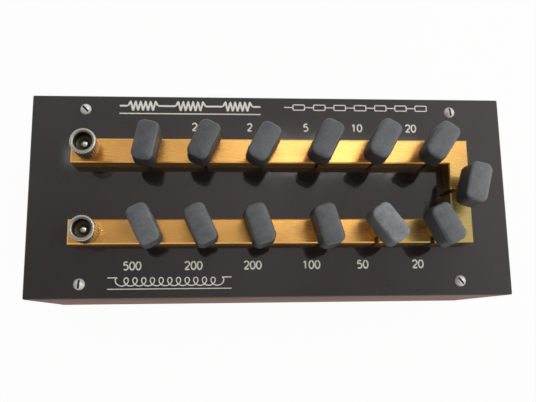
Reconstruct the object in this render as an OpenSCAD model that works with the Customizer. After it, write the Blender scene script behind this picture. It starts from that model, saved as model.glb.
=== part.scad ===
// Plug resistance box. A wooden box carries a black panel with two rows of brass blocks.
// A tapered plug bridges each gap between two blocks and shorts the coil that hangs below it.
// Frame: origin at the middle of the underside, +X along the rows, +Y to the back, +Z up.

/* [Brass blocks] */
// Length of a block between two gaps
block_len = 27.5; // [24:0.1:34]
// Length of the first block of a row, which carries the terminal
first_block_len = 38.2; // [33:0.1:45]
// Length of the last block of a row, which turns the corner
last_block_len = 20.8; // [16:0.1:26]
// Width of a block across its row
block_w = 12.7; // [11:0.1:16]
// Height of a block
block_h = 11; // [8:0.5:14]
// Width of the gap between two blocks
gap_w = 2; // [1:0.1:3]
// Width of the arm that closes the right end
arm_w = 10.7; // [10:0.1:14]
// Distance between the centre lines of the two rows
row_spacing = 42.2; // [38:0.2:54]
// Chamfer along the top edges of a block
block_chamfer = 0.6; // [0.2:0.1:1]
// Distance of a fixing screw from a block's end
screw_edge = 7.8; // [6:0.1:9]

/* [Panel] */
// Panel beyond the blocks at each end
end_margin = 23.5; // [15:0.5:34]
// Panel beyond the blocks at the front and at the back
side_margin = 26.8; // [23:0.1:40]
// Thickness of the panel
panel_t = 6; // [4:0.5:10]
// Radius of the panel's corners
panel_corner_r = 1; // [0.5:0.5:6]
// Chamfer along the panel's top edges
panel_chamfer = 0.5; // [0.2:0.1:1.5]

/* [Wooden box] */
// Height of the box under the panel
box_h = 84; // [60:1:110]
// Thickness of the walls
wall_t = 15; // [10:0.5:18]
// Thickness of the bottom board
base_t = 8; // [4:0.5:12]

/* [Plugs] */
// Diameter of a pin where it enters its head
pin_top_d = 8; // [7:0.1:9]
// Length of pin over which its diameter shrinks by one
pin_taper = 12; // [10:1:30]
// Height of the head above the blocks
pin_stand = 6.5; // [4:0.5:12]
// How far the pin goes below the underside of the blocks
pin_tail = 3.5; // [1:0.1:3.5]
// How far the collar stands out round the pin
collar_lip = 1; // [0.5:0.1:1.5]
// Thickness of the collar
collar_t = 1.5; // [1:0.1:2.5]
// Diameter of the spigot inside the head
spigot_d = 4.5; // [4:0.1:5]
// Length of the spigot inside the head
spigot_len = 9; // [6:0.5:12]
// Length of a head in plan
head_l = 21; // [16:0.5:24]
// Width of a head in plan
head_w = 12; // [11:0.5:15]
// Height of a head
head_h = 15; // [14:0.5:24]
// Corner radius of a head in plan
head_corner_r = 4; // [3:0.1:4.5]
// How much a head draws in on each side towards its top
head_draft = 0.45; // [0.1:0.05:0.8]
// Bevel round the top of a head
head_bevel = 1.5; // [0.5:0.1:2]

/* [Terminals] */
// Distance of a terminal from its row's left end
terminal_inset = 9.6; // [7:0.1:12]
// Diameter of the thumb head
thumb_d = 13; // [11:0.1:15]
// Height of the thumb head
thumb_h = 12.2; // [8:0.1:15]
// Diameter of the cup in the thumb head
cup_d = 9; // [8:0.1:10.4]
// Depth of the cup in the thumb head
cup_depth = 6.5; // [3:0.1:7]
// Chamfer round the thumb head
thumb_chamfer = 0.5; // [0.2:0.1:0.6]
// Diameter of the flutes round the thumb head
flute_d = 0.9; // [0.5:0.1:1.1]
// Diameter of the screw stem
stem_d = 5; // [4:0.1:6]
// How far the stem stands out of the cup's floor
rivet_h = 1.6; // [0.4:0.1:2]
// How far the stem reaches below the panel when it is screwed down
stem_tail = 2; // [1:0.1:5]
// Pitch of the stem's thread
thread_pitch = 0.8; // [0.5:0.05:1]
// Turns by which the back terminal stands unscrewed
back_turns = 6; // [0:1:14]
// Diameter of the clamping washer
washer_d = 11; // [9:0.1:14]
// Thickness of the clamping washer
washer_t = 1; // [0.6:0.1:2]

/* [Screws] */
// Distance of a panel screw from the panel's end
panel_screw_inset = 28; // [20:0.5:40]
// Diameter of a panel screw's head
panel_screw_head_d = 6; // [5:0.1:7]
// Height of a panel screw's head
panel_screw_head_h = 2; // [1.5:0.1:3]
// Diameter of a wood screw's shank
wood_screw_d = 3; // [2.5:0.1:4]
// Length of a wood screw under its head
wood_screw_len = 22; // [18:1:25]
// Diameter of a base screw's countersunk head
base_screw_head_d = 6.4; // [6:0.1:8]
// Distance of a base screw from the box's end
base_screw_inset = 30; // [24:1:45]
// Diameter of a block screw's shank
block_screw_d = 3; // [2.5:0.1:4]
// How far a block screw goes up into its block
block_screw_grip = 6; // [4:0.5:7]
// Diameter of a block screw's head
block_screw_head_d = 5.5; // [5:0.1:6]
// Height of a block screw's head
block_screw_head_h = 2; // [1.5:0.1:2.5]
// Width of the slot in a screw's head
slot_w = 0.9; // [0.6:0.1:1.2]
// Depth of the slot in a screw's head
slot_depth = 0.9; // [0.5:0.1:1.2]

/* [Coils] */
// Diameter of a bobbin's flanges
flange_d = 13; // [12:0.1:14]
// Thickness of a bobbin's flanges
flange_t = 2; // [1.5:0.1:3]
// Diameter of a bobbin's core
core_d = 6; // [5:0.1:7]
// Length of a bobbin
bobbin_len = 30; // [24:0.5:36]
// Diameter of the winding
winding_d = 11; // [9:0.1:11.8]
// Space between a bobbin and the block screws
bobbin_gap = 0.65; // [0.3:0.05:2]
// Diameter of a bobbin screw's shank
bobbin_screw_d = 2.5; // [2:0.1:3]
// How far a bobbin screw goes up into the panel
bobbin_screw_grip = 3; // [2:0.5:3.5]
// Diameter of a coil's lead
lead_d = 0.8; // [0.4:0.1:1]
// How far below the flange a lead leaves the winding
lead_drop = 1.2; // [1:0.1:2]

/* [Fits] */
// Radial clearance of a pin in its tapered socket and of a stem in its block
running_clear = 0.05; // [0.02:0.01:0.1]
// Radial clearance of a fixed screw or spigot in its hole
fixed_clear = 0.02; // [0.01:0.01:0.05]
// Radial clearance of pins, stems and screws where they pass the panel
hole_clear = 0.5; // [0.2:0.1:0.8]

/* [Hidden] */
$fn = 64;
eps = 0.01;
hull_fn = 32;

plugs_per_row = 6;
rows = ["back", "front"];
// The plugs are fitted by hand. Each head has its own turn, stands a little higher than the lowest ones,
// and sits a little off its pin's axis
head_turns = [[-12, -26, -30, -27, -29, -34], [25, 25, 19, 17, 37, 28]];
head_rises = [[0, 1, 0, 5, 4.5, 3.5], [0, 0, 0, 4, 5, 4]];
head_shifts = [
    [[0.9, 0.1], [0, 0.3], [0.3, -0.1], [1.6, 0], [1, 0.4], [0.8, -0.2]],
    [[0.5, 1.1], [-1.6, 1.2], [-2.3, 1], [1.2, 0.1], [1.4, 0.5], [0.7, 0.4]]];
infinity_turn = -15;
infinity_rise = 4;
infinity_shift = [0.8, -0.2];
panel_screw_corners = [[-1, 1], [1, 1], [-1, -1], [1, -1]];
panel_screw_slots = [-45, 100, 85, -50];
flute_count = 30;

// Rows and gaps
pitch = block_len + gap_w;
rail_len = first_block_len + (plugs_per_row - 1) * block_len + last_block_len + plugs_per_row * gap_w;
rail_x = -rail_len / 2;
row_y = row_spacing / 2;
arm_x = rail_x + rail_len - arm_w / 2;
terminal_x = rail_x + terminal_inset;

// Box and levels
panel_w = rail_len + 2 * end_margin;
panel_d = row_spacing + block_w + 2 * side_margin;
panel_z = box_h;
panel_top = panel_z + panel_t;
block_top = panel_top + block_h;
pin_reach = block_h + pin_tail;
panel_screw_x = panel_w / 2 - panel_screw_inset;
wall_y = panel_d / 2 - wall_t / 2;
wall_x = panel_w / 2 - wall_t / 2;
base_screw_x = panel_w / 2 - base_screw_inset;
base_screw_head_h = (base_screw_head_d - wood_screw_d) / 2;

// Coils
bobbin_y = row_y - block_screw_head_d / 2 - bobbin_gap - flange_d / 2;
lead_bite = 0.4;

// Terminals
back_lift = back_turns * thread_pitch;
stem_len = washer_t + block_h + panel_t + stem_tail;

function row_sign(r) = r == 0 ? 1 : -1;
function gap_x(i) = rail_x + first_block_len + gap_w / 2 + i * pitch;
function block_x0(k) = k == 0 ? rail_x : gap_x(k - 1) + gap_w / 2;
function block_x1(k) = k == plugs_per_row ? rail_x + rail_len : gap_x(k) - gap_w / 2;
// Radius of a plug's pin at height h above the top of the blocks
function pin_r(h) = (pin_top_d - (pin_stand - h) / pin_taper) / 2;
// The two fixing screws of block k, in the back row
function block_screw_xy(k) =
    k == 0 ? [[(terminal_x + block_x1(0) - screw_edge) / 2, row_y], [block_x1(0) - screw_edge, row_y]]
    : k == plugs_per_row ? [[arm_x, row_y], [arm_x, (row_y - block_w / 2 + gap_w / 2) / 2]]
    : [[block_x0(k) + screw_edge, row_y], [block_x1(k) - screw_edge, row_y]];
// The two block screws that coil i of the back row is joined to
function coil_screws(i) = [block_screw_xy(i)[1], block_screw_xy(i + 1)[0]];

// Shared shapes

// Outline with rounded corners, centred on the origin
module rounded_outline(l, w, r) {
    square([l - 2 * r, w], center = true);
    square([l, w - 2 * r], center = true);
    for (x = [-1, 1], y = [-1, 1])
        translate([x * (l / 2 - r), y * (w / 2 - r)]) circle(r);
}

// Bar from corner a to corner b, of height h, chamfered along its top edges
module chamfered_bar(a, b, h, c) {
    intersection() {
        translate([0, b.y, 0]) rotate([90, 0, 0]) linear_extrude(b.y - a.y)
            polygon([[a.x, 0], [b.x, 0], [b.x, h - c], [b.x - c, h], [a.x + c, h], [a.x, h - c]]);
        translate([a.x, 0, 0]) rotate([90, 0, 90]) linear_extrude(b.x - a.x)
            polygon([[a.y, 0], [b.y, 0], [b.y, h - c], [b.y - c, h], [a.y + c, h], [a.y, h - c]]);
    }
}

// Round rod of diameter d from point a to point b
module rod(a, b, d) {
    v = b - a;
    translate(a) rotate([0, acos(v.z / norm(v)), atan2(v.y, v.x)]) cylinder(h = norm(v), d = d);
}

// Children at each of the four panel screws, with $i as the screw's number
module at_panel_screws() {
    for ($i = [0:len(panel_screw_corners) - 1]) {
        corner = panel_screw_corners[$i];
        translate([corner.x * panel_screw_x, corner.y * wall_y, 0]) children();
    }
}

// Children at each base screw: three along each long wall and one in each end wall
module at_base_screws() {
    for (x = [-base_screw_x, 0, base_screw_x], y = [-wall_y, wall_y]) translate([x, y, 0]) children();
    for (x = [-wall_x, wall_x]) translate([x, 0, 0]) children();
}

// Children at each block screw of block k, in the back row
module at_block_screws(k) {
    for (p = block_screw_xy(k)) translate([p.x, p.y, 0]) children();
}

// Children at each coil
module at_coils() {
    for (s = [-1, 1], i = [0:plugs_per_row - 1]) translate([gap_x(i), s * bobbin_y, 0]) children();
}

// Children once for the back row and once more, mirrored, for the front row
module both_rows() {
    children();
    mirror([0, 1, 0]) children();
}

// Wooden box

module wood_screw_holes() {
    hole_r = wood_screw_d / 2 + fixed_clear;
    at_base_screws() translate([0, 0, -eps]) cylinder(h = wood_screw_len + eps, r = hole_r);
    at_panel_screws() translate([0, 0, panel_top - wood_screw_len]) cylinder(h = wood_screw_len, r = hole_r);
}

module bottom_board() {
    color("peru") difference() {
        translate([-panel_w / 2, -panel_d / 2, 0]) cube([panel_w, panel_d, base_t]);
        wood_screw_holes();
        at_base_screws() translate([0, 0, -eps])
            cylinder(h = base_screw_head_h, d1 = base_screw_head_d + 2 * eps, d2 = wood_screw_d + 2 * eps);
    }
}

// Long wall at y, from one end of the box to the other
module long_wall(y) {
    color("sienna") difference() {
        translate([-panel_w / 2, y - wall_t / 2, base_t]) cube([panel_w, wall_t, box_h - base_t]);
        wood_screw_holes();
    }
}

// End wall at x, between the long walls
module end_wall(x) {
    color("saddlebrown") difference() {
        translate([x - wall_t / 2, wall_t - panel_d / 2, base_t])
            cube([wall_t, panel_d - 2 * wall_t, box_h - base_t]);
        wood_screw_holes();
    }
}

module front_wall() { long_wall(-wall_y); }

module back_wall() { long_wall(wall_y); }

module left_wall() { end_wall(-wall_x); }

module right_wall() { end_wall(wall_x); }

module base_screws() {
    color("silver") at_base_screws() difference() {
        union() {
            cylinder(h = base_screw_head_h, d1 = base_screw_head_d, d2 = wood_screw_d);
            cylinder(h = wood_screw_len, d = wood_screw_d);
        }
        translate([-base_screw_head_d / 2, -slot_w / 2, -eps])
            cube([base_screw_head_d, slot_w, slot_depth + eps]);
    }
}

// Panel and its screws

module top_panel() {
    color("dimgray") difference() {
        translate([0, 0, panel_z]) intersection() {
            linear_extrude(panel_t) rounded_outline(panel_w, panel_d, panel_corner_r);
            chamfered_bar([-panel_w / 2, -panel_d / 2], [panel_w / 2, panel_d / 2], panel_t, panel_chamfer);
        }
        at_panel_screws() translate([0, 0, panel_z - eps])
            cylinder(h = panel_t + 2 * eps, r = wood_screw_d / 2 + hole_clear);
        both_rows() {
            for (k = [0:plugs_per_row]) at_block_screws(k) translate([0, 0, panel_z - eps])
                cylinder(h = panel_t + 2 * eps, r = block_screw_d / 2 + hole_clear);
            for (i = [0:plugs_per_row - 1]) translate([gap_x(i), row_y, 0]) pin_hole();
        }
        for (s = [-1, 1]) translate([terminal_x, s * row_y, panel_z - eps])
            cylinder(h = panel_t + 2 * eps, r = stem_d / 2 + hole_clear);
        translate([arm_x, 0, 0]) pin_hole();
        at_coils() translate([0, 0, panel_z - eps])
            cylinder(h = bobbin_screw_grip + eps, r = bobbin_screw_d / 2 + fixed_clear);
    }
}

// Hole in the panel under a plug's socket
module pin_hole() {
    translate([0, 0, panel_z - eps]) cylinder(h = panel_t + 2 * eps, r = pin_r(-block_h) + hole_clear);
}

module panel_screws() {
    dome_r = (pow(panel_screw_head_d / 2, 2) + pow(panel_screw_head_h, 2)) / (2 * panel_screw_head_h);
    color("gainsboro") at_panel_screws() translate([0, 0, panel_top]) difference() {
        union() {
            rotate_extrude() intersection() {
                translate([0, panel_screw_head_h - dome_r]) circle(dome_r);
                square([panel_screw_head_d, panel_screw_head_h]);
            }
            translate([0, 0, -wood_screw_len]) cylinder(h = wood_screw_len + eps, d = wood_screw_d);
        }
        rotate(panel_screw_slots[$i])
            translate([-panel_screw_head_d / 2, -slot_w / 2, panel_screw_head_h - slot_depth])
            cube([panel_screw_head_d, slot_w, slot_depth + eps]);
    }
}

module block_screws() {
    color("darkgoldenrod") both_rows() for (k = [0:plugs_per_row]) at_block_screws(k) {
        translate([0, 0, panel_z - block_screw_head_h]) {
            cylinder(h = block_screw_head_h, d = block_screw_head_d);
            cylinder(h = block_screw_head_h + panel_t + block_screw_grip, d = block_screw_d);
        }
    }
}

// Brass blocks

// Tapered socket of a plug, through the blocks beside it
module plug_socket() {
    translate([0, 0, panel_top - eps]) cylinder(
        h = block_h + 2 * eps,
        r1 = pin_r(-block_h - eps) + running_clear,
        r2 = pin_r(eps) + running_clear);
}

// Block k of the back row
module row_block(k) {
    x0 = block_x0(k);
    x1 = block_x1(k);
    difference() {
        translate([0, 0, panel_top]) {
            chamfered_bar([x0, row_y - block_w / 2], [x1, row_y + block_w / 2], block_h, block_chamfer);
            if (k == plugs_per_row)
                chamfered_bar([x1 - arm_w, gap_w / 2], [x1, row_y], block_h, block_chamfer);
        }
        if (k > 0) translate([gap_x(k - 1), row_y, 0]) plug_socket();
        if (k < plugs_per_row) translate([gap_x(k), row_y, 0]) plug_socket();
        if (k == plugs_per_row) translate([arm_x, 0, 0]) plug_socket();
        if (k == 0) translate([terminal_x, row_y, panel_top - eps])
            cylinder(h = block_h + 2 * eps, r = stem_d / 2 + running_clear);
        at_block_screws(k) translate([0, 0, panel_top - eps])
            cylinder(h = block_screw_grip + eps, r = block_screw_d / 2 + fixed_clear);
    }
}

module brass_block(r, k) {
    color("goldenrod") if (r == 0) row_block(k);
    else mirror([0, 1, 0]) row_block(k);
}

// Plugs

// Moulded head, standing on the collar of its pin
module plug_head(x, y, turn, rise, shift) {
    top_l = head_l - 2 * head_draft;
    top_w = head_w - 2 * head_draft;
    color([0.2, 0.21, 0.22]) translate([x, y, block_top + pin_stand + rise]) difference() {
        translate([shift.x, shift.y, 0]) rotate(turn) hull() {
            linear_extrude(eps) rounded_outline(head_w, head_l, head_corner_r, $fn = hull_fn);
            translate([0, 0, head_h - head_bevel]) linear_extrude(eps)
                rounded_outline(top_w, top_l, head_corner_r, $fn = hull_fn);
            translate([0, 0, head_h - eps]) linear_extrude(eps) rounded_outline(
                top_w - 2 * head_bevel, top_l - 2 * head_bevel, head_corner_r - head_bevel, $fn = hull_fn);
        }
        translate([0, 0, -eps]) cylinder(h = spigot_len + eps, r = spigot_d / 2 + fixed_clear);
    }
}

// Tapered pin with the collar under the head and the spigot inside it
module plug_pin(x, y, rise) {
    stand = pin_stand + rise;
    color("gold") translate([x, y, block_top]) {
        translate([0, 0, -pin_reach])
            cylinder(h = pin_reach + stand, r1 = pin_r(-pin_reach), r2 = pin_r(stand));
        translate([0, 0, stand - collar_t]) cylinder(h = collar_t, r = pin_top_d / 2 + collar_lip);
        translate([0, 0, stand - eps]) cylinder(h = spigot_len + eps, d = spigot_d);
    }
}

// Terminals

// Children on the axis of row r's terminal, at the underside of its washer
module at_terminal(r) {
    translate([terminal_x, row_sign(r) * row_y, block_top + (r == 0 ? back_lift : 0)]) children();
}

module terminal_washer(r) {
    color("khaki") at_terminal(r) difference() {
        cylinder(h = washer_t, d = washer_d);
        translate([0, 0, -eps]) cylinder(h = washer_t + 2 * eps, r = stem_d / 2 + running_clear);
    }
}

module terminal_head(r) {
    head_r = thumb_d / 2;
    hole_r = stem_d / 2 + fixed_clear;
    color("lightgray") at_terminal(r) translate([0, 0, washer_t]) difference() {
        rotate_extrude() polygon([
            [hole_r, 0], [head_r - thumb_chamfer, 0], [head_r, thumb_chamfer],
            [head_r, thumb_h - thumb_chamfer], [head_r - thumb_chamfer, thumb_h],
            [cup_d / 2, thumb_h], [cup_d / 2, thumb_h - cup_depth], [hole_r, thumb_h - cup_depth]]);
        for (i = [1:flute_count]) rotate(i * 360 / flute_count) translate([head_r, 0, -eps])
            cylinder(h = thumb_h + 2 * eps, d = flute_d);
    }
}

module terminal_stem(r) {
    floor_t = thumb_h - cup_depth;
    dome_r = (pow(stem_d / 2, 2) + pow(rivet_h, 2)) / (2 * rivet_h);
    color("silver") at_terminal(r) translate([0, 0, washer_t]) {
        translate([0, 0, -stem_len]) cylinder(h = stem_len + floor_t, d = stem_d);
        translate([0, 0, floor_t]) rotate_extrude() intersection() {
            translate([0, rivet_h - dome_r]) circle(dome_r);
            square([stem_d, rivet_h]);
        }
    }
}

// Coils under the panel

module coil_bobbins() {
    color("burlywood") at_coils() translate([0, 0, panel_z - bobbin_len]) difference() {
        union() {
            cylinder(h = bobbin_len, d = core_d);
            for (z = [0, bobbin_len - flange_t]) translate([0, 0, z]) cylinder(h = flange_t, d = flange_d);
        }
        translate([0, 0, -eps]) cylinder(h = bobbin_len + 2 * eps, r = bobbin_screw_d / 2 + fixed_clear);
    }
}

module coil_windings() {
    winding_len = bobbin_len - 2 * flange_t;
    color("olivedrab") at_coils() translate([0, 0, panel_z - bobbin_len + flange_t]) difference() {
        cylinder(h = winding_len, d = winding_d);
        translate([0, 0, -eps]) cylinder(h = winding_len + 2 * eps, d = core_d);
    }
}

module bobbin_screws() {
    color("silver") at_coils() translate([0, 0, panel_z - bobbin_len - block_screw_head_h]) {
        cylinder(h = block_screw_head_h, d = block_screw_head_d);
        cylinder(h = block_screw_head_h + bobbin_len + bobbin_screw_grip, d = bobbin_screw_d);
    }
}

// Each lead runs from its winding to the head of a block screw, and bites a little into both
module lead_wires() {
    color("orangered") both_rows() for (i = [0:plugs_per_row - 1], s = coil_screws(i)) {
        coil = [gap_x(i), bobbin_y];
        way = (s - coil) / norm(s - coil);
        a = coil + way * (winding_d / 2 - lead_bite);
        b = s - way * (block_screw_head_d / 2 - lead_bite);
        a_z = panel_z - flange_t - lead_drop;
        b_z = panel_z - block_screw_head_h / 2;
        rod([a.x, a.y, a_z], [b.x, b.y, b_z], lead_d);
    }
}

bottom_board();
front_wall();
back_wall();
left_wall();
right_wall();
base_screws();
top_panel();
panel_screws();
block_screws();
for (r = [0, 1]) {
    for (k = [0:plugs_per_row])
        brass_block(r, k);
    for (i = [0:plugs_per_row - 1]) {
        plug_head(gap_x(i), row_sign(r) * row_y, head_turns[r][i], head_rises[r][i], head_shifts[r][i]);
        plug_pin(gap_x(i), row_sign(r) * row_y, head_rises[r][i]);
    }
    terminal_head(r);
    terminal_stem(r);
    terminal_washer(r);
}
plug_head(arm_x, 0, infinity_turn, infinity_rise, infinity_shift);  // infinity_plug_head
plug_pin(arm_x, 0, infinity_rise);  // infinity_plug_pin
coil_bobbins();
coil_windings();
bobbin_screws();
lead_wires();
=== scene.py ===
import math

import bpy
import numpy as np
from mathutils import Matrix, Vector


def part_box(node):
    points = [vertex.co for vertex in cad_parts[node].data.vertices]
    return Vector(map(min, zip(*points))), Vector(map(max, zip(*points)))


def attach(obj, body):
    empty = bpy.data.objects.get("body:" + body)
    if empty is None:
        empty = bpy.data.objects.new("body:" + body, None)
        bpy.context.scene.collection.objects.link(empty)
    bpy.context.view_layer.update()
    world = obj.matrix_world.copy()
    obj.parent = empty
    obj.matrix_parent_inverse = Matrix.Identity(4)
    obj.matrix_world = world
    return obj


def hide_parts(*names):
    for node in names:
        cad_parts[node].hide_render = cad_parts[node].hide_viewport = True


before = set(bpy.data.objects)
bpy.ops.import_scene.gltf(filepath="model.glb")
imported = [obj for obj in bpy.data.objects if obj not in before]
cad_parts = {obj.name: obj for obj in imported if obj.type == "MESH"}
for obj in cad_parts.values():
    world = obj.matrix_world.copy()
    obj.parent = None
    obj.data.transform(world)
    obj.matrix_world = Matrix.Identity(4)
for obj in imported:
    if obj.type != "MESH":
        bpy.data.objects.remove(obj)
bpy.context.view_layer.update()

# Studio. The camera stands where the photograph was taken from: above the box, a little to the front left.
# A pale dome lights the box, brighter overhead, to the right and behind, with a soft panel on the right.
# Two tube lights, one of them dim, hang where the brass of the back row mirrors them.


def linear(code):
    """sRGB hex code as linear RGBA: each channel is taken back through the sRGB curve."""
    c = np.array([int(code[i:i + 2], 16) for i in (0, 2, 4)]) / 255
    c = np.where(c <= 0.04045, c / 12.92, ((c + 0.055) / 1.055) ** 2.4)
    return (*c.tolist(), 1.0)


def add(owner, kind, sockets=None, **settings):
    """Adds one shader node to a material or world. settings are the node's own options, and sockets maps an
    input's name or number to a value, or to another node's output that it is linked to. A Mix of colours
    takes its share at input 0 and its colours at 6 and 7, and gives the mixed colour at output 2."""
    n = owner.node_tree.nodes.new("ShaderNode" + kind)
    for key, value in settings.items():
        setattr(n, key, value)
    for key, value in (sockets or {}).items():
        if isinstance(value, bpy.types.NodeSocket):
            owner.node_tree.links.new(value, n.inputs[key])
        else:
            n.inputs[key].default_value = value
    return n


scene = bpy.context.scene
scene.view_settings.view_transform = "Standard"

camera_data = bpy.data.cameras.new("camera")
camera_data.sensor_width = 36.0
camera_data.lens = 44.121
camera = bpy.data.objects.new("camera", camera_data)
camera.location = (-0.02722, -0.06770, 0.43356)
camera.rotation_euler = [math.radians(a) for a in (10.6208, -4.0015, -0.7703)]
scene.collection.objects.link(camera)
scene.camera = camera

dome = bpy.data.worlds.new("studio_dome")
dome.use_nodes = True
dome.node_tree.nodes.clear()
direction = add(dome, "TexCoord").outputs["Generated"]
heading = add(dome, "SeparateXYZ", {0: direction})
left_side = add(dome, "MapRange", {"Value": heading.outputs["X"], "From Min": -0.9, "From Max": -0.3,
                                   "To Min": 0.15, "To Max": 0.40})
right_side = add(dome, "MapRange", {"Value": heading.outputs["X"], "From Min": 0.18, "From Max": 0.45,
                                    "To Min": 0.0, "To Max": 0.55})
back_side = add(dome, "MapRange", {"Value": heading.outputs["Y"], "From Min": 0.04, "From Max": 0.36,
                                   "To Min": -0.10, "To Max": 0.20})
brightest = (0.06, 0.15, 0.987)
from_brightest = add(dome, "VectorMath", {0: direction, 1: brightest}, operation="DISTANCE")
overhead = add(dome, "MapRange", {"Value": from_brightest.outputs["Value"], "From Min": 0.04,
                                  "From Max": 0.26, "To Min": 0.24, "To Max": 0.0})
level = left_side
for side in (right_side, back_side, overhead):
    level = add(dome, "Math", {0: level.outputs[0], 1: side.outputs[0]}, operation="ADD")
dome_light = add(dome, "Background", {"Color": linear("FFFDF9"), "Strength": level.outputs[0]})
add(dome, "OutputWorld", {"Surface": dome_light.outputs[0]})
scene.world = dome

for lamp_name, lamp_place, length, width, watts, tilt in (
    ("bright_tube", (0.26, 0.332, 1.30), 0.38, 0.04, 1.05, 0),
    ("dim_tube", (-0.21, 0.332, 1.30), 0.38, 0.04, 0.07, 0),
    ("right_panel", (1.20, 0.10, 1.00), 1.0, 1.0, 5.0, 52),
):
    lamp_data = bpy.data.lights.new(lamp_name, "AREA")
    lamp_data.shape = "RECTANGLE"
    lamp_data.size, lamp_data.size_y = length, width
    lamp_data.energy = watts
    lamp = bpy.data.objects.new(lamp_name, lamp_data)
    lamp.location = lamp_place
    lamp.rotation_euler = (0.0, math.radians(tilt), 0.0)
    scene.collection.objects.link(lamp)

# The table top: white laminate. Seen by the camera or in a reflection it is shown nearly white, with a
# faint shadow. A white paper wall stands round it far off. It is there for the eye alone, so that it takes
# no light from the dome.


def bare_material(name):
    """A material with an empty node tree."""
    m = bpy.data.materials.new(name)
    m.use_nodes = True
    m.node_tree.nodes.clear()
    return m


def seen(owner):
    """1 for a ray from the camera, a reflection or glass, and 0 for light: the largest of the three."""
    ray = add(owner, "LightPath")
    shown = ray.outputs["Is Camera Ray"]
    for kind in ("Is Glossy Ray", "Is Transmission Ray"):
        shown = add(owner, "Math", {0: shown, 1: ray.outputs[kind]}, operation="MAXIMUM").outputs[0]
    return shown


def set_out(name, points, faces, material):
    """A piece of the studio, not of the box."""
    mesh = bpy.data.meshes.new(name)
    mesh.from_pydata(points, [], faces)
    mesh.materials.append(material)
    made = bpy.data.objects.new(name, mesh)
    scene.collection.objects.link(made)


mottle_size = 0.4
table_top = bare_material("white_laminate")
place = add(table_top, "TexCoord").outputs["Object"]
cloud = add(table_top, "TexNoise", {"Vector": place, "Scale": 1 / mottle_size, "Detail": 2.0})
colour = add(table_top, "Mix", {0: cloud.outputs["Fac"], 6: linear("F8F7F5"), 7: linear("F3F2F0")},
             data_type="RGBA")
matt = add(table_top, "BsdfPrincipled", {"Base Color": colour.outputs[2], "Roughness": 0.7})
white = add(table_top, "Emission", {"Color": linear("FFFFFF"), "Strength": 1.0})
white_share = 0.96
share = add(table_top, "Math", {0: seen(table_top), 1: white_share}, operation="MULTIPLY")
shown = add(table_top, "MixShader", {0: share.outputs[0], 1: matt.outputs[0], 2: white.outputs[0]})
add(table_top, "OutputMaterial", {"Surface": shown.outputs[0]})
floor_half = 6.0
floor_corners = np.array([(-1, -1, 0), (1, -1, 0), (1, 1, 0), (-1, 1, 0)])
set_out("floor", floor_half * floor_corners, [(0, 1, 2, 3)], table_top)

paper = bare_material("white_backdrop_paper")
place = add(paper, "TexCoord").outputs["Object"]
fibre = add(paper, "TexNoise", {"Vector": place, "Scale": 1 / mottle_size, "Detail": 2.0})
colour = add(paper, "Mix", {0: fibre.outputs["Fac"], 6: linear("FFFFFF"), 7: linear("FCFCFB")},
             data_type="RGBA")
white = add(paper, "Emission", {"Color": colour.outputs[2], "Strength": 1.0})
clear = add(paper, "BsdfTransparent")
shown = add(paper, "MixShader", {0: seen(paper), 1: clear.outputs[0], 2: white.outputs[0]})
add(paper, "OutputMaterial", {"Surface": shown.outputs[0]})
paper_radius, paper_height, paper_sides = 5.5, 2.5, 64
about = np.linspace(0, 2 * np.pi, paper_sides, endpoint=False)
foot = paper_radius * np.c_[np.cos(about), np.sin(about), 0 * about]
this = np.arange(paper_sides)
following = np.roll(this, -1)
set_out("backdrop", np.r_[foot, foot + (0, 0, paper_height)],
        np.c_[this, following, following + paper_sides, this + paper_sides].tolist(), paper)

# Wooden box: four boards of varnished mahogany glued and screwed round a bottom board of the same wood.
# The long boards run from end to end, so their end grain shows at the corners. Sanding has eased the edges
# of all four.
MM = 0.001


def stacked_outlines(length, width, radius, steps, corner_points=8):
    """Rounded rectangles stacked along a third axis, as a grid of one row a step. A point of the outline is
    a corner's centre plus the radius times a direction that sweeps a quarter turn; each step is an inset,
    which draws length, width and radius in alike, and a height."""
    least_radius = 0.02
    sweep = np.linspace(0, np.pi / 2, corner_points)
    turn = (np.arange(4)[:, None] * np.pi / 2 + sweep).ravel()
    side = np.repeat(np.array([[1, 1], [-1, 1], [-1, -1], [1, -1]]), corner_points, axis=0)
    inset, height = np.array(steps, float).T
    r = np.maximum(radius - inset, least_radius)[:, None]
    u = side[:, 0] * (length / 2 - inset[:, None] - r) + r * np.cos(turn)
    v = side[:, 1] * (width / 2 - inset[:, None] - r) + r * np.sin(turn)
    return np.stack([u, v, np.broadcast_to(height[:, None], u.shape)], -1)


def piece(name, grids, body, material, slot, replaces=(), sharp=35, **attributes):
    """A mesh from one or more grids of points in millimetres: quads join neighbouring rows and columns, the
    columns close into a ring, and a flat face closes the first and the last row. attributes hold one value
    a point. The piece rides on its body and stands for the nodes that it replaces."""
    faces, start = [], 0
    for g in grids:
        i = np.arange(g.shape[0] * g.shape[1]).reshape(g.shape[:2]) + start
        j = np.roll(i, -1, axis=1)
        faces += np.stack([i[:-1], j[:-1], j[1:], i[1:]], -1).reshape(-1, 4).tolist()
        faces += [i[0, ::-1].tolist(), i[-1].tolist()]
        start += i.size
    mesh = bpy.data.meshes.new(name)
    mesh.from_pydata(np.concatenate([g.reshape(-1, 3) for g in grids]) * MM, [], faces)
    mesh.polygons.foreach_set("use_smooth", np.ones(len(mesh.polygons), bool))
    mesh.set_sharp_from_angle(angle=math.radians(sharp))
    for key, values in attributes.items():
        attribute = mesh.attributes.new(key, "FLOAT", "POINT")
        attribute.data.foreach_set("value", np.ravel(values).astype(np.float32))
    mesh.materials.append(material)
    made = bpy.data.objects.new(name, mesh)
    scene.collection.objects.link(made)
    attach(made, body)
    if replaces:
        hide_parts(*replaces)


def dress(material, *nodes):
    """Gives solids that keep their own shape their material."""
    for n in nodes:
        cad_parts[n].data.materials.clear()
        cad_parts[n].data.materials.append(material)


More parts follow.
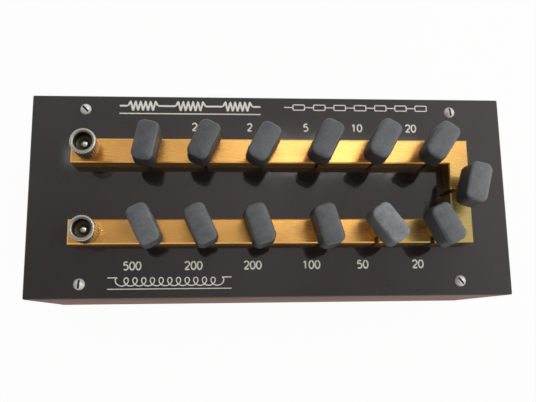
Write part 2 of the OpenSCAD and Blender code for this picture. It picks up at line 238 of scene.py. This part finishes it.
def span(node):
    """A solid's lowest and highest corner in millimetres."""
    return [np.array(p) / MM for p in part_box(node)]


def mahogany(name, grain):
    """Varnished mahogany with its grain along axis number grain. Growth rings are shells about a line along
    the grain, far below the board, 4 mm apart and pushed about by noise; dark pores are noise drawn out
    along the grain, 0.6 mm wide. Thin varnish gives a dull shine over both."""
    m = bare_material(name)
    ring_gap, sway_reach, heart = 4 * MM, 12 * MM, (30 * MM, 50 * MM, 110 * MM)
    across = [float(axis != grain) for axis in range(3)]
    drawn = [0.04 if axis == grain else 1.0 for axis in range(3)]
    place = add(m, "TexCoord").outputs["Object"]
    sway = add(m, "TexNoise", {"Vector": place, "Scale": 1 / (45 * MM), "Detail": 2.0})
    swayed = add(m, "VectorMath", {0: sway.outputs["Color"], 1: [sway_reach] * 3, 2: place},
                 operation="MULTIPLY_ADD")
    section = add(m, "VectorMath", {0: swayed.outputs[0], 1: across, 2: heart}, operation="MULTIPLY_ADD")
    radius = add(m, "VectorMath", {0: section.outputs[0]}, operation="LENGTH")
    phase = add(m, "Math", {0: radius.outputs["Value"], 1: 2 * math.pi / ring_gap}, operation="MULTIPLY")
    ring = add(m, "Math", {0: phase.outputs[0]}, operation="SINE")
    along = add(m, "Mapping", {"Vector": place, "Scale": drawn})
    pores = add(m, "TexNoise", {"Vector": along.outputs[0], "Scale": 1 / (0.6 * MM), "Detail": 3.0})
    figure = add(m, "TexNoise", {"Vector": along.outputs[0], "Scale": 1 / (8 * MM), "Detail": 4.0})
    ring_share = add(m, "MapRange", {"Value": ring.outputs[0], "From Min": -1.0, "From Max": 1.0,
                                     "To Min": 1.0, "To Max": 1.4})
    shade = add(m, "Math", {0: ring_share.outputs[0], 1: figure.outputs["Fac"]}, operation="MULTIPLY")
    tone = add(m, "Mix", {0: shade.outputs[0], 6: linear("A06742"), 7: linear("683C25")}, data_type="RGBA")
    pore_share = add(m, "MapRange", {"Value": pores.outputs["Fac"], "From Min": 0.56, "From Max": 0.72,
                                     "To Max": 0.65})
    colour = add(m, "Mix", {0: pore_share.outputs[0], 6: tone.outputs[2], 7: linear("3A2014")},
                 data_type="RGBA")
    rough = add(m, "MapRange", {"Value": figure.outputs["Fac"], "To Min": 0.5, "To Max": 0.65})
    dents = add(m, "Bump", {"Strength": 0.25, "Distance": 0.2 * MM, "Height": pore_share.outputs[0]},
                invert=True)
    shine = add(m, "BsdfPrincipled", {"Base Color": colour.outputs[2], "Roughness": rough.outputs[0],
                                      "Normal": dents.outputs[0], "IOR": 1.5, "Specular IOR Level": 0.15})
    add(m, "OutputMaterial", {"Surface": shine.outputs[0]})
    return m


mahogany_lengthwise = mahogany("mahogany_varnished_lengthwise", 0)
mahogany_crosswise = mahogany("mahogany_varnished_crosswise", 1)
eased, shoulder, eased_points = 0.7, 0.2, 4
for wall, grain_axis, wood in (
    ("front_wall", 0, mahogany_lengthwise), ("back_wall", 0, mahogany_lengthwise),
    ("left_wall", 1, mahogany_crosswise), ("right_wall", 1, mahogany_crosswise),
):
    low, high = span(wall)
    size = high - low
    run = size[grain_axis]
    section = (size[1], size[2]) if grain_axis == 0 else (size[2], size[0])
    ends = [(eased, 0), (shoulder, shoulder), (0, eased),
            (0, run - eased), (shoulder, run - shoulder), (eased, run)]
    board = stacked_outlines(*section, eased, ends, eased_points) - (0, 0, run / 2)
    board = np.roll(board, 1 if grain_axis == 0 else -1, axis=-1) + (low + high) / 2
    piece(f"{wall}_board", [board], "box", wood, "wood", [wall], sharp=60)
dress(mahogany_lengthwise, "bottom_board")

# Panel: a sheet of polished black hard rubber, sawn to size, with its edges broken by a file and left matt.
# Hard rubber goes a little brown and dull with age, and holds fine scratches and dust.
hard_rubber = bare_material("hard_rubber_polished")
place = add(hard_rubber, "TexCoord").outputs["Object"]
cloud = add(hard_rubber, "TexNoise", {"Vector": place, "Scale": 1 / (20 * MM), "Detail": 3.0})
cloudy = add(hard_rubber, "MapRange", {"Value": cloud.outputs["Fac"], "From Min": 0.3, "From Max": 0.7})
tone = add(hard_rubber, "Mix", {0: cloudy.outputs[0], 6: linear("292526"), 7: linear("2F2929")},
           data_type="RGBA")
speck = add(hard_rubber, "TexVoronoi", {"Vector": place, "Scale": 1 / (9 * MM)}, feature="F1")
dust = add(hard_rubber, "MapRange", {"Value": speck.outputs["Distance"], "From Min": 0.02,
                                     "From Max": 0.035, "To Min": 0.35, "To Max": 0.0})
colour = add(hard_rubber, "Mix", {0: dust.outputs[0], 6: tone.outputs[2], 7: linear("77716C")},
             data_type="RGBA")
stroked = add(hard_rubber, "Mapping", {"Vector": place, "Rotation": (0, 0, math.radians(8)),
                                       "Scale": (0.03, 1.0, 1.0)})
scratch = add(hard_rubber, "TexNoise", {"Vector": stroked.outputs[0], "Scale": 1 / (0.7 * MM),
                                        "Detail": 2.0})
polish = add(hard_rubber, "MapRange", {"Value": cloudy.outputs[0], "To Min": 0.05, "To Max": 0.08})
facing = add(hard_rubber, "SeparateXYZ", {0: add(hard_rubber, "NewGeometry").outputs["Normal"]})
rough = add(hard_rubber, "MapRange", {"Value": facing.outputs["Z"], "From Min": 0.75, "From Max": 0.95,
                                      "To Min": 0.6, "To Max": polish.outputs[0]})
fine = add(hard_rubber, "Bump", {"Strength": 0.04, "Distance": 0.1 * MM, "Height": scratch.outputs["Fac"]})
shine = add(hard_rubber, "BsdfPrincipled", {"Base Color": colour.outputs[2], "Roughness": rough.outputs[0],
                                            "Normal": fine.outputs[0], "IOR": 1.65})
add(hard_rubber, "OutputMaterial", {"Surface": shine.outputs[0]})
dress(hard_rubber, "top_panel")

# Panel screws and the other steel screws: round-head and countersunk wood screws of zinc-plated steel.
# The plating goes chalky white in patches, which dulls its shine. The floors of the sawn slots are
# painted dark: painted shade.
zinc_steel = bare_material("zinc_plated_steel")
place = add(zinc_steel, "TexCoord").outputs["Object"]
slotted = add(zinc_steel, "Attribute", attribute_name="slotted")
patch = add(zinc_steel, "TexNoise", {"Vector": place, "Scale": 1 / (1.6 * MM), "Detail": 3.0})
clean = add(zinc_steel, "Mix", {0: patch.outputs["Fac"], 6: linear("F4F3F0"), 7: linear("D2CFC9")},
            data_type="RGBA")
# The slot floors are painted near black: painted shade in the slots.
colour = add(zinc_steel, "Mix", {0: slotted.outputs["Fac"], 6: clean.outputs[2], 7: linear("25211E")},
             data_type="RGBA")
rough = add(zinc_steel, "MapRange", {"Value": patch.outputs["Fac"], "To Min": 0.3, "To Max": 0.55})
bare = add(zinc_steel, "MapRange", {"Value": patch.outputs["Fac"], "From Min": 0.35, "From Max": 0.65,
                                    "To Min": 0.45, "To Max": 0.15})
shine = add(zinc_steel, "BsdfPrincipled", {"Base Color": colour.outputs[2], "Metallic": bare.outputs[0],
                                           "Roughness": rough.outputs[0]})
add(zinc_steel, "OutputMaterial", {"Surface": shine.outputs[0]})
dress(zinc_steel, "base_screws", "bobbin_screws")

screw_radius, screw_height, slot_half, slot_floor = 3.0, 2.0, 0.55, 1.0
shank_radius, shank_length, point_radius, point_length = 1.5, 21.9, 0.2, 3.0
first_ring, floor_rim, cheek_top = 0.1, 0.25, 0.1
ring_points, cheek_points = 40, 24
dome_radius = (screw_radius ** 2 + screw_height ** 2) / (2 * screw_height)


def dome_at(z):
    """Radius of a screw's domed head at height z: a slice of a ball whose top is at the head's height."""
    return np.sqrt(dome_radius ** 2 - (z - screw_height + dome_radius) ** 2)


def about_axis(radius, angle, height):
    """Points about the Z axis: x is the radius times the angle's cosine, and y the radius times its sine.
    The three arrays are spread to one shape."""
    x, y, z = np.broadcast_arrays(radius * np.cos(angle), radius * np.sin(angle), height)
    return np.stack([x, y, z], -1)


def turned(points, degrees):
    """Points turned about the Z axis: the angle's cosine and sine mix x and y."""
    a = math.radians(degrees)
    return points @ np.array([[math.cos(a), math.sin(a), 0], [-math.sin(a), math.cos(a), 0], [0, 0, 1]])


def slotted_head(slot_turn):
    """A domed head as three stacks of rings: a round foot up to the slot's floor with the shank under it,
    and two cheeks. A ring of a cheek is a slice of the dome, an arc whose ends lie on the slot's side, where
    the cosine of the angle is half the slot's width over the radius. The second result is 1 on the slot's
    floor, which is painted dark as painted shade, and 0 elsewhere."""
    rise = np.linspace(first_ring, slot_floor, 5)
    z = np.r_[-shank_length, point_length - shank_length, 0, 0, rise, slot_floor]
    r = np.r_[point_radius, shank_radius, shank_radius, screw_radius, dome_at(rise),
              dome_at(slot_floor) - floor_rim]
    foot = about_axis(r[:, None], np.linspace(0, 2 * np.pi, ring_points, endpoint=False), z[:, None])
    top = screw_height - dome_radius + math.sqrt(dome_radius ** 2 - (slot_half + cheek_top) ** 2)
    z = np.linspace(slot_floor, top, 7)[:, None]
    r = dome_at(z)
    cheek = about_axis(r, np.arccos(slot_half / r) * np.linspace(-1, 1, cheek_points), z)
    stacks = [turned(g, slot_turn - 90) for g in (foot, cheek, cheek * (-1, -1, 1))]
    slot_shade_mask = [np.zeros(g.shape[:2]) for g in stacks]
    slot_shade_mask[0][-1] = 1
    return stacks, np.concatenate([d.ravel() for d in slot_shade_mask])


low, high = span("panel_screws")
heads, slot_shade_masks = [], []
for sx, sy, slot_turn in ((-1, 1, -45), (1, 1, 100), (-1, -1, 85), (1, -1, -50)):
    stacks, slot_shade_mask = slotted_head(slot_turn)
    x, y = ((low + high) / 2 + (sx, sy, 0) * ((high - low) / 2 - screw_radius))[:2]
    heads += [g + (x, y, high[2] - screw_height) for g in stacks]
    slot_shade_masks.append(slot_shade_mask)
piece("panel_wood_screws", heads, "box", zinc_steel, "steel", ["panel_screws"], sharp=40,
      slotted=np.concatenate(slot_shade_masks))

# Brass blocks: lengths of drawn half-inch bar, rubbed down along their length, polished and held from below.
# The rubbing leaves hair-fine lines along the bar, and age a thin film that scatters a fifth of the light,
# browner in soft patches. The arms beside the end plug are painted olive, the front one most: painted shade
# and reflection of the end plug.
brass = bare_material("brass_bar_polished")
place = add(brass, "TexCoord").outputs["Object"]
rubbed = add(brass, "Mapping", {"Vector": place, "Scale": (0.02, 1.0, 1.0)})
lines = add(brass, "TexNoise", {"Vector": rubbed.outputs[0], "Scale": 1 / (0.3 * MM), "Detail": 1.0})
patch = add(brass, "TexNoise", {"Vector": place, "Scale": 1 / (14 * MM), "Detail": 1.0})
tarnish = add(brass, "MapRange", {"Value": patch.outputs["Fac"], "From Min": 0.45, "From Max": 0.75,
                                  "To Max": 0.3})
clean = add(brass, "Mix", {0: lines.outputs["Fac"], 6: linear("F4B866"), 7: linear("F1B562")},
            data_type="RGBA")
browned = add(brass, "Mix", {0: tarnish.outputs[0], 6: clean.outputs[2], 7: linear("B07A44")},
              data_type="RGBA")
# Painted shade and reflection of the end plug: olive on the arms beside it, strongest on the front arm.
front_arm = (94 * MM, -16 * MM, 100 * MM)
from_front_arm = add(brass, "VectorMath", {0: place, 1: front_arm}, operation="DISTANCE")
end_plug_painted_shade = add(brass, "MapRange", {"Value": from_front_arm.outputs["Value"], "From Min": 10 * MM,
                                   "From Max": 45 * MM, "To Min": 0.85, "To Max": 0.0})
colour = add(brass, "Mix", {0: end_plug_painted_shade.outputs[0], 6: browned.outputs[2], 7: linear("A79B62")},
             data_type="RGBA")
rough = add(brass, "MapRange", {"Value": lines.outputs["Fac"], "From Min": 0.3, "From Max": 0.7,
                                "To Min": 0.27, "To Max": 0.28})
shine = add(brass, "BsdfPrincipled", {"Base Color": colour.outputs[2], "Metallic": 0.8,
                                      "Roughness": rough.outputs[0]})
add(brass, "OutputMaterial", {"Surface": shine.outputs[0]})
rows = ("back", "front")
dress(brass, *(f"{row}_block_{k}" for row in rows for k in range(1, 8)))

# Plug pins, washers and block screws: brass turned on a lathe and left bright.
# The tool leaves rings round the axis. They are drawn 1 mm apart, coarser than real ones, so that they show.
turned_brass = bare_material("brass_turned")
place = add(turned_brass, "TexCoord").outputs["Object"]
ring_gap = 1 * MM
unscaled_gap = 2 * math.pi / 20  # between the bands of a Wave node whose scale is 1
rings = add(turned_brass, "TexWave", {"Vector": place, "Scale": unscaled_gap / ring_gap,
                                      "Distortion": 0.6, "Detail": 1.0},
            wave_type="BANDS", bands_direction="Z")
patch = add(turned_brass, "TexNoise", {"Vector": place, "Scale": 1 / (4 * MM), "Detail": 3.0})
colour = add(turned_brass, "Mix", {0: patch.outputs["Fac"], 6: linear("EEBC70"), 7: linear("B98A4A")},
             data_type="RGBA")
rough = add(turned_brass, "MapRange", {"Value": rings.outputs["Fac"], "To Min": 0.2, "To Max": 0.34})
marks = add(turned_brass, "Bump", {"Strength": 0.2, "Distance": 0.1 * MM, "Height": rings.outputs["Fac"]})
shine = add(turned_brass, "BsdfPrincipled", {"Base Color": colour.outputs[2], "Metallic": 1.0,
                                             "Roughness": rough.outputs[0], "Normal": marks.outputs[0]})
add(turned_brass, "OutputMaterial", {"Surface": shine.outputs[0]})
plugs = [f"{row}_plug_{{}}_{i}" for row in rows for i in range(1, 7)] + ["infinity_plug_{}"]
dress(turned_brass, "block_screws", *(f"{row}_terminal_washer" for row in rows),
      *(plug.format("pin") for plug in plugs))

# Plug heads: finger grips of black phenolic resin, moulded round the pin's spigot, with drawn-in sides and
# soft edges. The resin leaves the mould black and glossy and goes matt and grey where fingers rub it: the
# top and its edges. Painted light is mixed into that grey: the tops, and some heads more than others, are
# painted lighter where light falls on them.
phenolic = bare_material("phenolic_resin_moulded")
place = add(phenolic, "TexCoord").outputs["Object"]
# rubbed holds finger wear and painted light together: the lighter grey it gives is partly painted light.
rubbed = add(phenolic, "Attribute", attribute_name="rubbed")
grit = add(phenolic, "TexNoise", {"Vector": place, "Scale": 1 / (1.1 * MM), "Detail": 4.0})
cloud = add(phenolic, "TexNoise", {"Vector": place, "Scale": 1 / (5 * MM), "Detail": 3.0})
patchy = add(phenolic, "MapRange", {"Value": cloud.outputs["Fac"], "From Min": 0.3, "From Max": 0.7,
                                    "To Min": 0.75, "To Max": 1.2})
gritty = add(phenolic, "MapRange", {"Value": grit.outputs["Fac"], "From Min": 0.3, "From Max": 0.7,
                                    "To Min": 0.8, "To Max": 1.2})
wear_and_painted_light = add(phenolic, "Math", {0: rubbed.outputs["Fac"], 1: patchy.outputs[0]}, operation="MULTIPLY")
wear_and_painted_light = add(phenolic, "Math", {0: wear_and_painted_light.outputs[0], 1: gritty.outputs[0]}, operation="MULTIPLY")
colour = add(phenolic, "Mix", {0: wear_and_painted_light.outputs[0], 6: linear("1B1D20"), 7: linear("9A9EA3")},
             data_type="RGBA")
rough = add(phenolic, "MapRange", {"Value": wear_and_painted_light.outputs[0], "To Min": 0.32, "To Max": 0.75})
grain = add(phenolic, "Bump", {"Strength": 0.15, "Distance": 0.2 * MM, "Height": grit.outputs["Fac"]})
shine = add(phenolic, "BsdfPrincipled", {"Base Color": colour.outputs[2], "Roughness": rough.outputs[0],
                                         "Normal": grain.outputs[0], "IOR": 1.6})
add(phenolic, "OutputMaterial", {"Surface": shine.outputs[0]})

head_length, head_width, head_height, head_corner = 21.0, 12.0, 15.0, 4.0
draft, edge_round, crown = 0.45, 1.5, 0.25
spigot_radius, spigot_depth = 2.27, 9.0
# Each plug's turn in degrees, and how much its top is worn and painted lighter where light falls
head_turns = (-12, -26, -30, -27, -29, -34, 25, 25, 19, 17, 37, 28, -15)
head_wear_and_painted_light = (0.7, 0.6, 0.85, 0.72, 1.0, 0.95, 1.1, 0.85, 0.8, 0.76, 2.2, 0.98, 1.25)
bend = np.linspace(0, np.pi / 2, 7)
# Inset and height of each step of a head: its rounded foot, the moulding line, the top edge and the crown
head_steps = np.concatenate([
    [(0.5, 0), (0.15, 0.15), (0, 0.5)],
    [(0.05, 2.0), (-0.03, 2.15), (0.05, 2.3)],
    np.c_[draft + edge_round * (1 - np.cos(bend)), head_height - crown - edge_round * (1 - np.sin(bend))],
    [(draft + 2.6, head_height - 0.12), (draft + 4.0, head_height - 0.03), (draft + 5.0, head_height)]])
# How much fingers have rubbed each step of a head, with painted light mixed in: least low on its sides,
# most round its top edge
head_rubbed_and_painted_light = (0.14, 0.12, 0.12, 0.12, 0.15, 0.12, 0.18, 0.22, 0.27, 0.31, 0.34, 0.36, 0.35,
               0.33, 0.32, 0.32)
head_outlines = stacked_outlines(head_length, head_width, head_corner, head_steps)
for plug, head_turn, worn_and_painted_light in zip(plugs, head_turns, head_wear_and_painted_light):
    node = plug.format("head")
    low, high = span(node)
    middle = (low + high) / 2 * (1, 1, 0)
    grip = turned(head_outlines, head_turn + 90) + middle
    axis = sum(span(plug.format("pin"))) / 2 * (1, 1, 0)
    about = np.arctan2(*(grip[0] - axis).T[1::-1])
    circle = axis + about_axis(spigot_radius, about, 0)
    grip = np.concatenate([[circle + (0, 0, spigot_depth), circle], grip]) + (0, 0, low[2])
    piece(f"{node}_grip", [grip], node.replace("_head", ""), phenolic, "head", [node], sharp=50,
          rubbed=np.repeat(np.r_[0, 0, head_rubbed_and_painted_light] * worn_and_painted_light, grip.shape[1]))

# Terminals: thumb heads of nickel-plated brass, fluted round the edge and hollowed out on top, riveted on a
# screw. Plating stays bright on the rim, and the rivet is polished and painted near white: a painted
# highlight. The cup is painted dark, darker with depth: painted shade.
nickel = bare_material("nickel_plated_brass")
place = add(nickel, "TexCoord").outputs["Object"]
deep = add(nickel, "Attribute", attribute_name="deep")
rivet = add(nickel, "Attribute", attribute_name="rivet")
patch = add(nickel, "TexNoise", {"Vector": place, "Scale": 1 / (2 * MM), "Detail": 4.0})
plate = add(nickel, "Mix", {0: patch.outputs["Fac"], 6: linear("DEDBD2"), 7: linear("B4AEA0")},
            data_type="RGBA")
# The rivet is painted near white: a painted highlight.
plate_and_painted_highlight = add(nickel, "Mix", {0: rivet.outputs["Fac"], 6: plate.outputs[2], 7: linear("F6F4F0")},
             data_type="RGBA")
# The cup is painted dark, darker with depth: painted shade.
colour = add(nickel, "Mix", {0: deep.outputs["Fac"], 6: plate_and_painted_highlight.outputs[2], 7: linear("4A4438")},
             data_type="RGBA")
dull = add(nickel, "MapRange", {"Value": patch.outputs["Fac"], "To Min": 0.2, "To Max": 0.4})
rough = add(nickel, "MapRange", {"Value": rivet.outputs["Fac"], "To Min": dull.outputs[0], "To Max": 0.15})
shine = add(nickel, "BsdfPrincipled", {"Base Color": colour.outputs[2], "Metallic": 1.0,
                                       "Roughness": rough.outputs[0]})
add(nickel, "OutputMaterial", {"Surface": shine.outputs[0]})

flutes, flute_depth, flute_points = 30, 0.3, 6
# The last column of the profile is painted shade in the cup, darker with depth.
thumb_profile = np.array([  # radius, height, share of the flutes' depth, darkness
    (2.52, 0.0, 0, 0), (5.6, 0.0, 0, 0), (6.0, 0.05, 0, 0), (6.35, 0.3, 0.6, 0), (6.5, 0.6, 1, 0),
    (6.5, 11.6, 1, 0), (6.35, 11.95, 0.6, 0), (6.0, 12.15, 0, 0), (5.6, 12.2, 0, 0), (5.2, 12.15, 0, 0.35),
    (4.7, 11.9, 0, 0.75), (4.5, 11.6, 0, 0.85), (4.5, 10.8, 0, 0.95), (4.5, 6.1, 0, 1), (4.4, 5.8, 0, 1),
    (4.1, 5.7, 0, 1), (2.52, 5.7, 0, 1)])
profile_radius, profile_height, fluted, painted_shade_share = thumb_profile.T[..., None]
around = np.linspace(0, 2 * np.pi, flutes * flute_points, endpoint=False)
groove = flute_depth * (0.5 - 0.5 * np.cos(flutes * around)) ** 2
stem_radius, rivet_height, plain, neck, tip_radius, tip_length = 2.5, 1.6, 2.4, 0.2, 1.7, 0.4
thread_pitch, thread_depth, thread_steps, stem_points = 0.8, 0.45, 8, 32
stem_round = np.linspace(0, 2 * np.pi, stem_points, endpoint=False)
for row in rows:
    low, high = span(f"{row}_terminal_head")
    axis = (low + high) / 2 * (1, 1, 0)
    thumb = about_axis(profile_radius - fluted * groove, around, profile_height) + axis + (0, 0, low[2])
    piece(f"{row}_thumb_head", [thumb], f"{row}_terminal", nickel, "nickel", [f"{row}_terminal_head"],
          sharp=40, deep=np.repeat(painted_shade_share, len(around)))

    # The screw stem: a helix on a cylinder, whose radius is the outer one less the depth times a triangle
    # wave of height over pitch minus the angle, with a smooth neck and a flat dome above it.
    low, high = span(f"{row}_terminal_stem")
    height = np.arange(low[2] + tip_length, high[2] - plain, thread_pitch / thread_steps)
    phase = (height[:, None] / thread_pitch - stem_round / (2 * np.pi)) % 1.0
    thread = stem_radius - thread_depth * np.abs(2 * phase - 1)
    rise = np.linspace(0, np.pi / 2, 7)[:-1]
    z = np.r_[low[2], height, high[2] - plain + neck, high[2] - rivet_height * (1 - np.sin(rise))]
    smooth = np.r_[stem_radius, stem_radius * np.cos(rise)][:, None] * np.ones(stem_points)
    r = np.concatenate([np.full((1, stem_points), tip_radius), thread, smooth])
    stem = about_axis(r, stem_round, z[:, None]) + axis
    piece(f"{row}_screw_stem", [stem], f"{row}_terminal", nickel, "nickel", [f"{row}_terminal_stem"],
          sharp=50, rivet=np.repeat(z > high[2] - plain, stem_points))

# Numbers, the value of each coil in ohms, and plain signs for a resistance, a row of resistors and a coil.
# They are cut into the panel with an engraving tool, as ribbons of even width with round ends, and filled
# with white enamel, which is dull and greyed in specks by dirt.
enamel = bare_material("white_enamel_filling")
place = add(enamel, "TexCoord").outputs["Object"]
stain = add(enamel, "TexNoise", {"Vector": place, "Scale": 1 / (1.5 * MM), "Detail": 3.0})
colour = add(enamel, "Mix", {0: stain.outputs["Fac"], 6: linear("FFFFFC"), 7: linear("E4E2DC")},
             data_type="RGBA")
rough = add(enamel, "MapRange", {"Value": stain.outputs["Fac"], "To Min": 0.4, "To Max": 0.65})
shine = add(enamel, "BsdfPrincipled", {"Base Color": colour.outputs[2], "Roughness": rough.outputs[0]})
add(enamel, "OutputMaterial", {"Surface": shine.outputs[0]})
panel_top = span("top_panel")[1][2]
fill, sunk, point_gap, thinnest = 0.08, 0.02, 0.35, 0.05


def arc(cx, cy, rx, ry, start, end):
    """Points of an ellipse about (cx, cy), from one angle to another in degrees."""
    a = np.radians(np.linspace(start, end, 25))
    return np.c_[cx + rx * np.cos(a), cy + ry * np.sin(a)]


def cut(path, width):
    """A rounded ribbon along a path: half the width to each side, falling off as a circle at both ends, and
    half an ellipse high in section, with its flat underside just inside the panel."""
    path = np.array(path, float)
    s = np.r_[0, np.cumsum(np.hypot(*np.diff(path, axis=0).T))]
    r = width / 2
    tip = r * (1 - np.cos(np.linspace(0, np.pi / 2, 6)))
    straight = np.linspace(r, s[-1] - r, max(2, int(s[-1] / point_gap)))
    at = np.r_[tip[:-1], straight, s[-1] - tip[-2::-1]]
    middle = np.c_[np.interp(at, s, path[:, 0]), np.interp(at, s, path[:, 1])]
    from_end = np.minimum(np.minimum(at, s[-1] - at), r)
    half = np.sqrt(np.maximum(r ** 2 - (r - from_end) ** 2, (thinnest * r) ** 2))
    along = np.gradient(middle, at, axis=0)
    along /= np.hypot(along[:, 0], along[:, 1])[:, None]
    across = np.c_[-along[:, 1], along[:, 0]]
    a = np.linspace(0, np.pi, 6)
    flat = middle[:, None, :] + across[:, None, :] * half[:, None, None] * np.cos(a)[None, :, None]
    rise = panel_top - sunk + fill * (half / r)[:, None] * np.sin(a)[None, :]
    return np.concatenate([flat, rise[..., None]], -1)


# The strokes of each numeral, as shares of its height
numerals = {
    "0": [arc(0.32, 0.5, 0.28, 0.47, 90, 450)],
    "1": [[(0.12, 0.74), (0.36, 0.97)], [(0.34, 0.97), (0.34, 0.03)]],
    "2": [arc(0.31, 0.69, 0.27, 0.28, 165, -38), [(0.52, 0.52), (0.05, 0.04)], [(0.04, 0.03), (0.6, 0.03)]],
    "5": [[(0.55, 0.96), (0.13, 0.96)], [(0.14, 0.97), (0.09, 0.5)], arc(0.3, 0.33, 0.28, 0.3, 135, -140)],
}
numeral_height, numeral_step, numeral_stroke = 4.3, 3.2, 0.85
numeral_gap = 0.1 * numeral_height
for row, row_y, values in (
    ("back", 37.3, (("1", -70.9), ("2", -41.5), ("2", -11.8), ("5", 18.9), ("10", 47.1), ("20", 77.3))),
    ("front", -37.5, (("500", -73.1), ("200", -41.6), ("200", -10.8), ("100", 20.1), ("50", 47.4),
                      ("20", 77.2))),
):
    cuts = []
    for value, x in values:
        left = x - (numeral_step * len(value) - numeral_gap) / 2
        for n, numeral in enumerate(value):
            corner = (left + numeral_step * n, row_y - numeral_height / 2)
            cuts += [cut(np.array(p) * numeral_height + corner, numeral_stroke) for p in numerals[numeral]]
    piece(f"{row}_row_numbers", cuts, "box", enamel, "panel")

# A zigzag for a resistance, drawn three times on one line and underlined
left, right, line, underline, stroke, under_stroke = -81.9, -5.7, 48.9, 44.6, 1.1, 0.7
lead, zig_step, swing = 4.6, 1.33, 2.6
zigzag = np.c_[zig_step * np.arange(13), np.r_[0, np.tile([swing, -swing], 6)[:-1], 0]]
zigzag_length = zigzag[-1, 0]
starts = np.linspace(left + lead, right - lead - zigzag_length, 3)
ends = starts + zigzag_length
signs = [cut(zigzag + (x, line), stroke) for x in starts]
signs += [cut([(x0, line), (x1, line)], stroke) for x0, x1 in zip(np.r_[left, ends], np.r_[starts, right])]
signs.append(cut([(left, underline), (right, underline)], under_stroke))
piece("resistance_sign", signs, "box", enamel, "panel")

# A row of seven box resistors on one line
left, right, line, stroke, count = 7.1, 86.8, 48.8, 0.6, 7
lead, half_height = 5.0, 1.5
every = (right - left) / count
signs = []
for x in left + every * np.arange(count):
    ring = np.array([(lead, -1), (every, -1), (every, 1), (lead, 1)]) * (1, half_height) + (x, line)
    signs += [cut([ring[i], ring[i - 1]], stroke) for i in range(4)]
    signs.append(cut([(x, line), (x + lead, line)], stroke))
piece("row_of_resistors_sign", signs, "box", enamel, "panel")

# A coil of twelve loops between two leads, underlined: a circle that moves on as it turns
left, right, line, underline, stroke, under_stroke, count = -85.6, -21.8, -45.7, -49.4, 0.6, 0.5, 12
lead, loop_radius, loop_points = 5.2, 2.1, 40
t = np.linspace(0, count * 2 * np.pi, loop_points * count)
moved = np.linspace(left + lead, right - lead, len(t))
loops = np.c_[moved - loop_radius * np.sin(t), line + loop_radius * np.cos(t)]
lead_y = line + loop_radius
signs = [cut(loops, stroke), cut([(left, underline), (right, underline)], under_stroke)]
signs += [cut([(x, lead_y), (x + lead, lead_y)], stroke) for x in (left, right - lead)]
piece("coil_sign", signs, "box", enamel, "panel")

# Coils: under the panel, each gap in the two rows has a boxwood reel, wound with silk-covered resistance
# wire that has two bare ends. A winding is a cylinder with a helical ripple, one turn of wire 0.8 mm high
# to each ripple. Boxwood turns to a smooth, dull face with fine grain along the reel.
boxwood = bare_material("boxwood_turned")
place = add(boxwood, "TexCoord").outputs["Object"]
along = add(boxwood, "Mapping", {"Vector": place, "Scale": (1.0, 1.0, 0.08)})
grain_lines = add(boxwood, "TexNoise", {"Vector": along.outputs[0], "Scale": 1 / (1.2 * MM), "Detail": 3.0})
colour = add(boxwood, "Mix", {0: grain_lines.outputs["Fac"], 6: linear("D8B57E"), 7: linear("A87C46")},
             data_type="RGBA")
rough = add(boxwood, "MapRange", {"Value": grain_lines.outputs["Fac"], "To Min": 0.38, "To Max": 0.55})
shine = add(boxwood, "BsdfPrincipled", {"Base Color": colour.outputs[2], "Roughness": rough.outputs[0]})
add(boxwood, "OutputMaterial", {"Surface": shine.outputs[0]})
dress(boxwood, "coil_bobbins")

# The silk is green, with a soft sheen and a mottle of light and dark threads.
silk = bare_material("silk_covered_wire")
place = add(silk, "TexCoord").outputs["Object"]
weave = add(silk, "TexNoise", {"Vector": place, "Scale": 1 / (0.5 * MM), "Detail": 2.0})
colour = add(silk, "Mix", {0: weave.outputs["Fac"], 6: linear("5E7A3C"), 7: linear("33471F")},
             data_type="RGBA")
rough = add(silk, "MapRange", {"Value": weave.outputs["Fac"], "To Min": 0.45, "To Max": 0.65})
shine = add(silk, "BsdfPrincipled", {"Base Color": colour.outputs[2], "Roughness": rough.outputs[0],
                                     "Sheen Weight": 0.4})
add(silk, "OutputMaterial", {"Surface": shine.outputs[0]})
low, high = span("coil_windings")
winding_radius, wire, wire_steps, winding_points = 5.5, 0.8, 6, 24
first_turn, last_turn = 0.05, 0.04
winding_round = np.linspace(0, 2 * np.pi, winding_points, endpoint=False)
height = np.arange(low[2] + first_turn, high[2] - last_turn, wire / wire_steps)[:, None]
phase = height / wire - winding_round / (2 * np.pi)
radius = winding_radius - wire / 2 * (1 - np.abs(np.cos(np.pi * phase)) ** 0.5)
winding = about_axis(radius, winding_round, height)
gaps = [sum(span(f"back_plug_pin_{i}"))[0] / 2 for i in range(1, 7)]
windings = [winding + (x, y, 0) for x in gaps for y in (low[1] + winding_radius, high[1] - winding_radius)]
piece("wound_coils", windings, "box", silk, "winding", ["coil_windings"])

# The tinning on the ends is thin, and copper shows through it in patches.
copper = bare_material("copper_wire_tinned")
place = add(copper, "TexCoord").outputs["Object"]
patch = add(copper, "TexNoise", {"Vector": place, "Scale": 1 / (2 * MM), "Detail": 2.0})
colour = add(copper, "Mix", {0: patch.outputs["Fac"], 6: linear("D08A62"), 7: linear("A9A39A")},
             data_type="RGBA")
rough = add(copper, "MapRange", {"Value": patch.outputs["Fac"], "To Min": 0.28, "To Max": 0.42})
shine = add(copper, "BsdfPrincipled", {"Base Color": colour.outputs[2], "Metallic": 1.0,
                                       "Roughness": rough.outputs[0]})
add(copper, "OutputMaterial", {"Surface": shine.outputs[0]})
dress(copper, "lead_wires")
